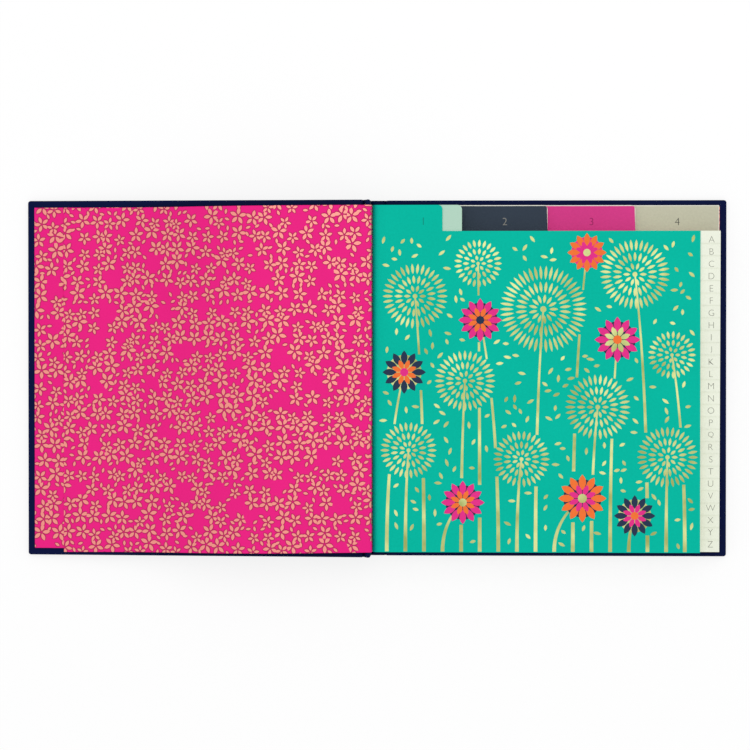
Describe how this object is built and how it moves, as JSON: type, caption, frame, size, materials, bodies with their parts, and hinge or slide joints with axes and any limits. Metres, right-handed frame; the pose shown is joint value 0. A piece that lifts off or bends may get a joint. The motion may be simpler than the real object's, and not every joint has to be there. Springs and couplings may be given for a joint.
{
  "type": "address book",
  "caption": "Square casebound address book lying open, with a hinged wrapped cover, pink endpapers, tabbed dividers and letter leaves with a stepped index down the fore edge.",
  "frame": {"origin": "centre of the open book's footprint, on the table it lies on", "axes": "+X across the spread from front cover to back cover, +Y up the page, +Z off the table"},
  "size_m": [0.3248, 0.165, 0.0192],
  "materials": {
    "grey_board": "matte",
    "navy_covering": "matte",
    "pink_endpaper": "matte",
    "lining_cloth": "matte",
    "green_divider": "matte",
    "letter_paper": "matte",
    "page_paper": "matte",
    "navy_divider": "matte",
    "magenta_divider": "matte",
    "beige_divider": "matte"
  },
  "bodies": {
    "text_block": {"spine_board": "grey_board", "spine_wrap": "navy_covering", "spine_lining": "lining_cloth", "back_joint": "navy_covering", "letter_margins": "letter_paper", "section_margins": "page_paper", "divider_margin": "green_divider", "rear_flyleaf": "pink_endpaper"},
    "back_cover": {"back_board": "grey_board", "back_wrap": "navy_covering", "back_pastedown": "pink_endpaper"},
    "front_cover": {"front_board": "grey_board", "front_wrap": "navy_covering", "front_pastedown": "pink_endpaper"},
    "front_joint": {"front_joint": "navy_covering"},
    "front_joint_lap": {"front_joint_lap": "navy_covering"},
    "flyleaf": {"front_flyleaf": "pink_endpaper"},
    "flyleaf_margin": {"flyleaf_margin": "pink_endpaper"},
    "flyleaf_shoulder": {"flyleaf_shoulder": "pink_endpaper"},
    "address_divider": {"address_divider": "green_divider"},
    "letter_leaf_a": {"letter_leaf_a": "letter_paper"},
    "letter_leaf_b": {"letter_leaf_b": "letter_paper"},
    "letter_leaf_c": {"letter_leaf_c": "letter_paper"},
    "letter_leaf_d": {"letter_leaf_d": "letter_paper"},
    "letter_leaf_e": {"letter_leaf_e": "letter_paper"},
    "letter_leaf_f": {"letter_leaf_f": "letter_paper"},
    "letter_leaf_g": {"letter_leaf_g": "letter_paper"},
    "letter_leaf_h": {"letter_leaf_h": "letter_paper"},
    "letter_leaf_i": {"letter_leaf_i": "letter_paper"},
    "letter_leaf_j": {"letter_leaf_j": "letter_paper"},
    "letter_leaf_k": {"letter_leaf_k": "letter_paper"},
    "letter_leaf_l": {"letter_leaf_l": "letter_paper"},
    "letter_leaf_m": {"letter_leaf_m": "letter_paper"},
    "letter_leaf_n": {"letter_leaf_n": "letter_paper"},
    "letter_leaf_o": {"letter_leaf_o": "letter_paper"},
    "letter_leaf_p": {"letter_leaf_p": "letter_paper"},
    "letter_leaf_q": {"letter_leaf_q": "letter_paper"},
    "letter_leaf_r": {"letter_leaf_r": "letter_paper"},
    "letter_leaf_s": {"letter_leaf_s": "letter_paper"},
    "letter_leaf_t": {"letter_leaf_t": "letter_paper"},
    "letter_leaf_u": {"letter_leaf_u": "letter_paper"},
    "letter_leaf_v": {"letter_leaf_v": "letter_paper"},
    "letter_leaf_w": {"letter_leaf_w": "letter_paper"},
    "letter_leaf_x": {"letter_leaf_x": "letter_paper"},
    "letter_leaf_y": {"letter_leaf_y": "letter_paper"},
    "letter_leaf_z": {"letter_leaf_z": "letter_paper"},
    "events_section": {"events_divider": "navy_divider", "events_pages": "page_paper"},
    "gifts_section": {"gifts_divider": "magenta_divider", "gifts_pages": "page_paper"},
    "notes_section": {"notes_divider": "beige_divider", "notes_pages": "page_paper"}
  },
  "joints": [
    {"name": "front_cover_hinge", "type": "hinge", "parent": "text_block", "child": "front_cover", "pos_m": [-0.00031, 0, 0.01668], "axis": [0, -1, 0], "range_deg": [-184.93, 0], "deforming": ["front_joint", "front_joint_lap", "flyleaf_margin", "flyleaf_shoulder"]},
    {"name": "front_joint_bend", "type": "hinge", "parent": "text_block", "child": "front_joint", "pos_m": [-0.00031, 0, 0.01668], "axis": [0, -1, 0], "range_deg": [-92.47, 0]},
    {"name": "front_joint_lap_bend", "type": "hinge", "parent": "front_cover", "child": "front_joint_lap", "pos_m": [-0.00031, 0, 0.01668], "axis": [0, -1, 0], "range_deg": [0, 92.47]},
    {"name": "flyleaf_turn", "type": "hinge", "parent": "text_block", "child": "flyleaf", "pos_m": [-0.00031, 0, 0.01668], "axis": [0, -1, 0], "range_deg": [-184.93, 0]},
    {"name": "flyleaf_margin_bend", "type": "hinge", "parent": "text_block", "child": "flyleaf_margin", "pos_m": [-0.00031, 0, 0.01668], "axis": [0, -1, 0], "range_deg": [-92.47, 0]},
    {"name": "flyleaf_shoulder_bend", "type": "hinge", "parent": "flyleaf", "child": "flyleaf_shoulder", "pos_m": [-0.00031, 0, 0.01668], "axis": [0, -1, 0], "range_deg": [0, 92.47]},
    {"name": "back_cover_hinge", "type": "hinge", "parent": "text_block", "child": "back_cover", "pos_m": [-0.00031, 0, 0.0027], "axis": [0, -1, 0], "range_deg": [-170, 0], "deforming": ["back_joint"]},
    {"name": "leaf_turn", "type": "hinge", "parent": "text_block", "child": "address_divider", "pos_m": [-0.00031, 0, 0.01668], "axis": [0, -1, 0], "range_deg": [0, 165], "deforming": ["divider_margin", "letter_margins", "section_margins"]},
    {"name": "letter_leaf_a_turn", "type": "hinge", "parent": "text_block", "child": "letter_leaf_a", "pos_m": [-0.00031, 0, 0.01668], "axis": [0, -1, 0], "range_deg": [0, 160]},
    {"name": "letter_leaf_b_turn", "type": "hinge", "parent": "text_block", "child": "letter_leaf_b", "pos_m": [-0.00031, 0, 0.01668], "axis": [0, -1, 0], "range_deg": [0, 157.6]},
    {"name": "letter_leaf_c_turn", "type": "hinge", "parent": "text_block", "child": "letter_leaf_c", "pos_m": [-0.00031, 0, 0.01668], "axis": [0, -1, 0], "range_deg": [0, 155.2]},
    {"name": "letter_leaf_d_turn", "type": "hinge", "parent": "text_block", "child": "letter_leaf_d", "pos_m": [-0.00031, 0, 0.01668], "axis": [0, -1, 0], "range_deg": [0, 152.8]},
    {"name": "letter_leaf_e_turn", "type": "hinge", "parent": "text_block", "child": "letter_leaf_e", "pos_m": [-0.00031, 0, 0.01668], "axis": [0, -1, 0], "range_deg": [0, 150.4]},
    {"name": "letter_leaf_f_turn", "type": "hinge", "parent": "text_block", "child": "letter_leaf_f", "pos_m": [-0.00031, 0, 0.01668], "axis": [0, -1, 0], "range_deg": [0, 148]},
    {"name": "letter_leaf_g_turn", "type": "hinge", "parent": "text_block", "child": "letter_leaf_g", "pos_m": [-0.00031, 0, 0.01668], "axis": [0, -1, 0], "range_deg": [0, 145.6]},
    {"name": "letter_leaf_h_turn", "type": "hinge", "parent": "text_block", "child": "letter_leaf_h", "pos_m": [-0.00031, 0, 0.01668], "axis": [0, -1, 0], "range_deg": [0, 143.2]},
    {"name": "letter_leaf_i_turn", "type": "hinge", "parent": "text_block", "child": "letter_leaf_i", "pos_m": [-0.00031, 0, 0.01668], "axis": [0, -1, 0], "range_deg": [0, 140.8]},
    {"name": "letter_leaf_j_turn", "type": "hinge", "parent": "text_block", "child": "letter_leaf_j", "pos_m": [-0.00031, 0, 0.01668], "axis": [0, -1, 0], "range_deg": [0, 138.4]},
    {"name": "letter_leaf_k_turn", "type": "hinge", "parent": "text_block", "child": "letter_leaf_k", "pos_m": [-0.00031, 0, 0.01668], "axis": [0, -1, 0], "range_deg": [0, 136]},
    {"name": "letter_leaf_l_turn", "type": "hinge", "parent": "text_block", "child": "letter_leaf_l", "pos_m": [-0.00031, 0, 0.01668], "axis": [0, -1, 0], "range_deg": [0, 133.6]},
    {"name": "letter_leaf_m_turn", "type": "hinge", "parent": "text_block", "child": "letter_leaf_m", "pos_m": [-0.00031, 0, 0.01668], "axis": [0, -1, 0], "range_deg": [0, 131.2]},
    {"name": "letter_leaf_n_turn", "type": "hinge", "parent": "text_block", "child": "letter_leaf_n", "pos_m": [-0.00031, 0, 0.01668], "axis": [0, -1, 0], "range_deg": [0, 128.8]},
    {"name": "letter_leaf_o_turn", "type": "hinge", "parent": "text_block", "child": "letter_leaf_o", "pos_m": [-0.00031, 0, 0.01668], "axis": [0, -1, 0], "range_deg": [0, 126.4]},
    {"name": "letter_leaf_p_turn", "type": "hinge", "parent": "text_block", "child": "letter_leaf_p", "pos_m": [-0.00031, 0, 0.01668], "axis": [0, -1, 0], "range_deg": [0, 124]},
    {"name": "letter_leaf_q_turn", "type": "hinge", "parent": "text_block", "child": "letter_leaf_q", "pos_m": [-0.00031, 0, 0.01668], "axis": [0, -1, 0], "range_deg": [0, 121.6]},
    {"name": "letter_leaf_r_turn", "type": "hinge", "parent": "text_block", "child": "letter_leaf_r", "pos_m": [-0.00031, 0, 0.01668], "axis": [0, -1, 0], "range_deg": [0, 119.2]},
    {"name": "letter_leaf_s_turn", "type": "hinge", "parent": "text_block", "child": "letter_leaf_s", "pos_m": [-0.00031, 0, 0.01668], "axis": [0, -1, 0], "range_deg": [0, 116.8]},
    {"name": "letter_leaf_t_turn", "type": "hinge", "parent": "text_block", "child": "letter_leaf_t", "pos_m": [-0.00031, 0, 0.01668], "axis": [0, -1, 0], "range_deg": [0, 114.4]},
    {"name": "letter_leaf_u_turn", "type": "hinge", "parent": "text_block", "child": "letter_leaf_u", "pos_m": [-0.00031, 0, 0.01668], "axis": [0, -1, 0], "range_deg": [0, 112]},
    {"name": "letter_leaf_v_turn", "type": "hinge", "parent": "text_block", "child": "letter_leaf_v", "pos_m": [-0.00031, 0, 0.01668], "axis": [0, -1, 0], "range_deg": [0, 109.6]},
    {"name": "letter_leaf_w_turn", "type": "hinge", "parent": "text_block", "child": "letter_leaf_w", "pos_m": [-0.00031, 0, 0.01668], "axis": [0, -1, 0], "range_deg": [0, 107.2]},
    {"name": "letter_leaf_x_turn", "type": "hinge", "parent": "text_block", "child": "letter_leaf_x", "pos_m": [-0.00031, 0, 0.01668], "axis": [0, -1, 0], "range_deg": [0, 104.8]},
    {"name": "letter_leaf_y_turn", "type": "hinge", "parent": "text_block", "child": "letter_leaf_y", "pos_m": [-0.00031, 0, 0.01668], "axis": [0, -1, 0], "range_deg": [0, 102.4]},
    {"name": "letter_leaf_z_turn", "type": "hinge", "parent": "text_block", "child": "letter_leaf_z", "pos_m": [-0.00031, 0, 0.01668], "axis": [0, -1, 0], "range_deg": [0, 100]},
    {"name": "events_section_turn", "type": "hinge", "parent": "text_block", "child": "events_section", "pos_m": [-0.00031, 0, 0.01668], "axis": [0, -1, 0], "range_deg": [0, 88]},
    {"name": "gifts_section_turn", "type": "hinge", "parent": "text_block", "child": "gifts_section", "pos_m": [-0.00031, 0, 0.01668], "axis": [0, -1, 0], "range_deg": [0, 74]},
    {"name": "notes_section_turn", "type": "hinge", "parent": "text_block", "child": "notes_section", "pos_m": [-0.00031, 0, 0.01668], "axis": [0, -1, 0], "range_deg": [0, 60]}
  ],
  "couplings": [
    {"joint": "front_joint_bend", "follows": "front_cover_hinge", "ratio": 0.5},
    {"joint": "front_joint_lap_bend", "follows": "front_cover_hinge", "ratio": -0.5},
    {"joint": "flyleaf_turn", "follows": "front_cover_hinge", "ratio": 1},
    {"joint": "flyleaf_margin_bend", "follows": "front_cover_hinge", "ratio": 0.5},
    {"joint": "flyleaf_shoulder_bend", "follows": "front_cover_hinge", "ratio": -0.5},
    {"joint": "letter_leaf_a_turn", "follows": "leaf_turn", "ratio": 0.9697},
    {"joint": "letter_leaf_b_turn", "follows": "leaf_turn", "ratio": 0.95515},
    {"joint": "letter_leaf_c_turn", "follows": "leaf_turn", "ratio": 0.94061},
    {"joint": "letter_leaf_d_turn", "follows": "leaf_turn", "ratio": 0.92606},
    {"joint": "letter_leaf_e_turn", "follows": "leaf_turn", "ratio": 0.91151},
    {"joint": "letter_leaf_f_turn", "follows": "leaf_turn", "ratio": 0.89697},
    {"joint": "letter_leaf_g_turn", "follows": "leaf_turn", "ratio": 0.88242},
    {"joint": "letter_leaf_h_turn", "follows": "leaf_turn", "ratio": 0.86788},
    {"joint": "letter_leaf_i_turn", "follows": "leaf_turn", "ratio": 0.85333},
    {"joint": "letter_leaf_j_turn", "follows": "leaf_turn", "ratio": 0.83879},
    {"joint": "letter_leaf_k_turn", "follows": "leaf_turn", "ratio": 0.82424},
    {"joint": "letter_leaf_l_turn", "follows": "leaf_turn", "ratio": 0.8097},
    {"joint": "letter_leaf_m_turn", "follows": "leaf_turn", "ratio": 0.79515},
    {"joint": "letter_leaf_n_turn", "follows": "leaf_turn", "ratio": 0.78061},
    {"joint": "letter_leaf_o_turn", "follows": "leaf_turn", "ratio": 0.76606},
    {"joint": "letter_leaf_p_turn", "follows": "leaf_turn", "ratio": 0.75152},
    {"joint": "letter_leaf_q_turn", "follows": "leaf_turn", "ratio": 0.73697},
    {"joint": "letter_leaf_r_turn", "follows": "leaf_turn", "ratio": 0.72242},
    {"joint": "letter_leaf_s_turn", "follows": "leaf_turn", "ratio": 0.70788},
    {"joint": "letter_leaf_t_turn", "follows": "leaf_turn", "ratio": 0.69333},
    {"joint": "letter_leaf_u_turn", "follows": "leaf_turn", "ratio": 0.67879},
    {"joint": "letter_leaf_v_turn", "follows": "leaf_turn", "ratio": 0.66424},
    {"joint": "letter_leaf_w_turn", "follows": "leaf_turn", "ratio": 0.6497},
    {"joint": "letter_leaf_x_turn", "follows": "leaf_turn", "ratio": 0.63515},
    {"joint": "letter_leaf_y_turn", "follows": "leaf_turn", "ratio": 0.62061},
    {"joint": "letter_leaf_z_turn", "follows": "leaf_turn", "ratio": 0.60606},
    {"joint": "events_section_turn", "follows": "leaf_turn", "ratio": 0.53333},
    {"joint": "gifts_section_turn", "follows": "leaf_turn", "ratio": 0.44848},
    {"joint": "notes_section_turn", "follows": "leaf_turn", "ratio": 0.36364}
  ]
}
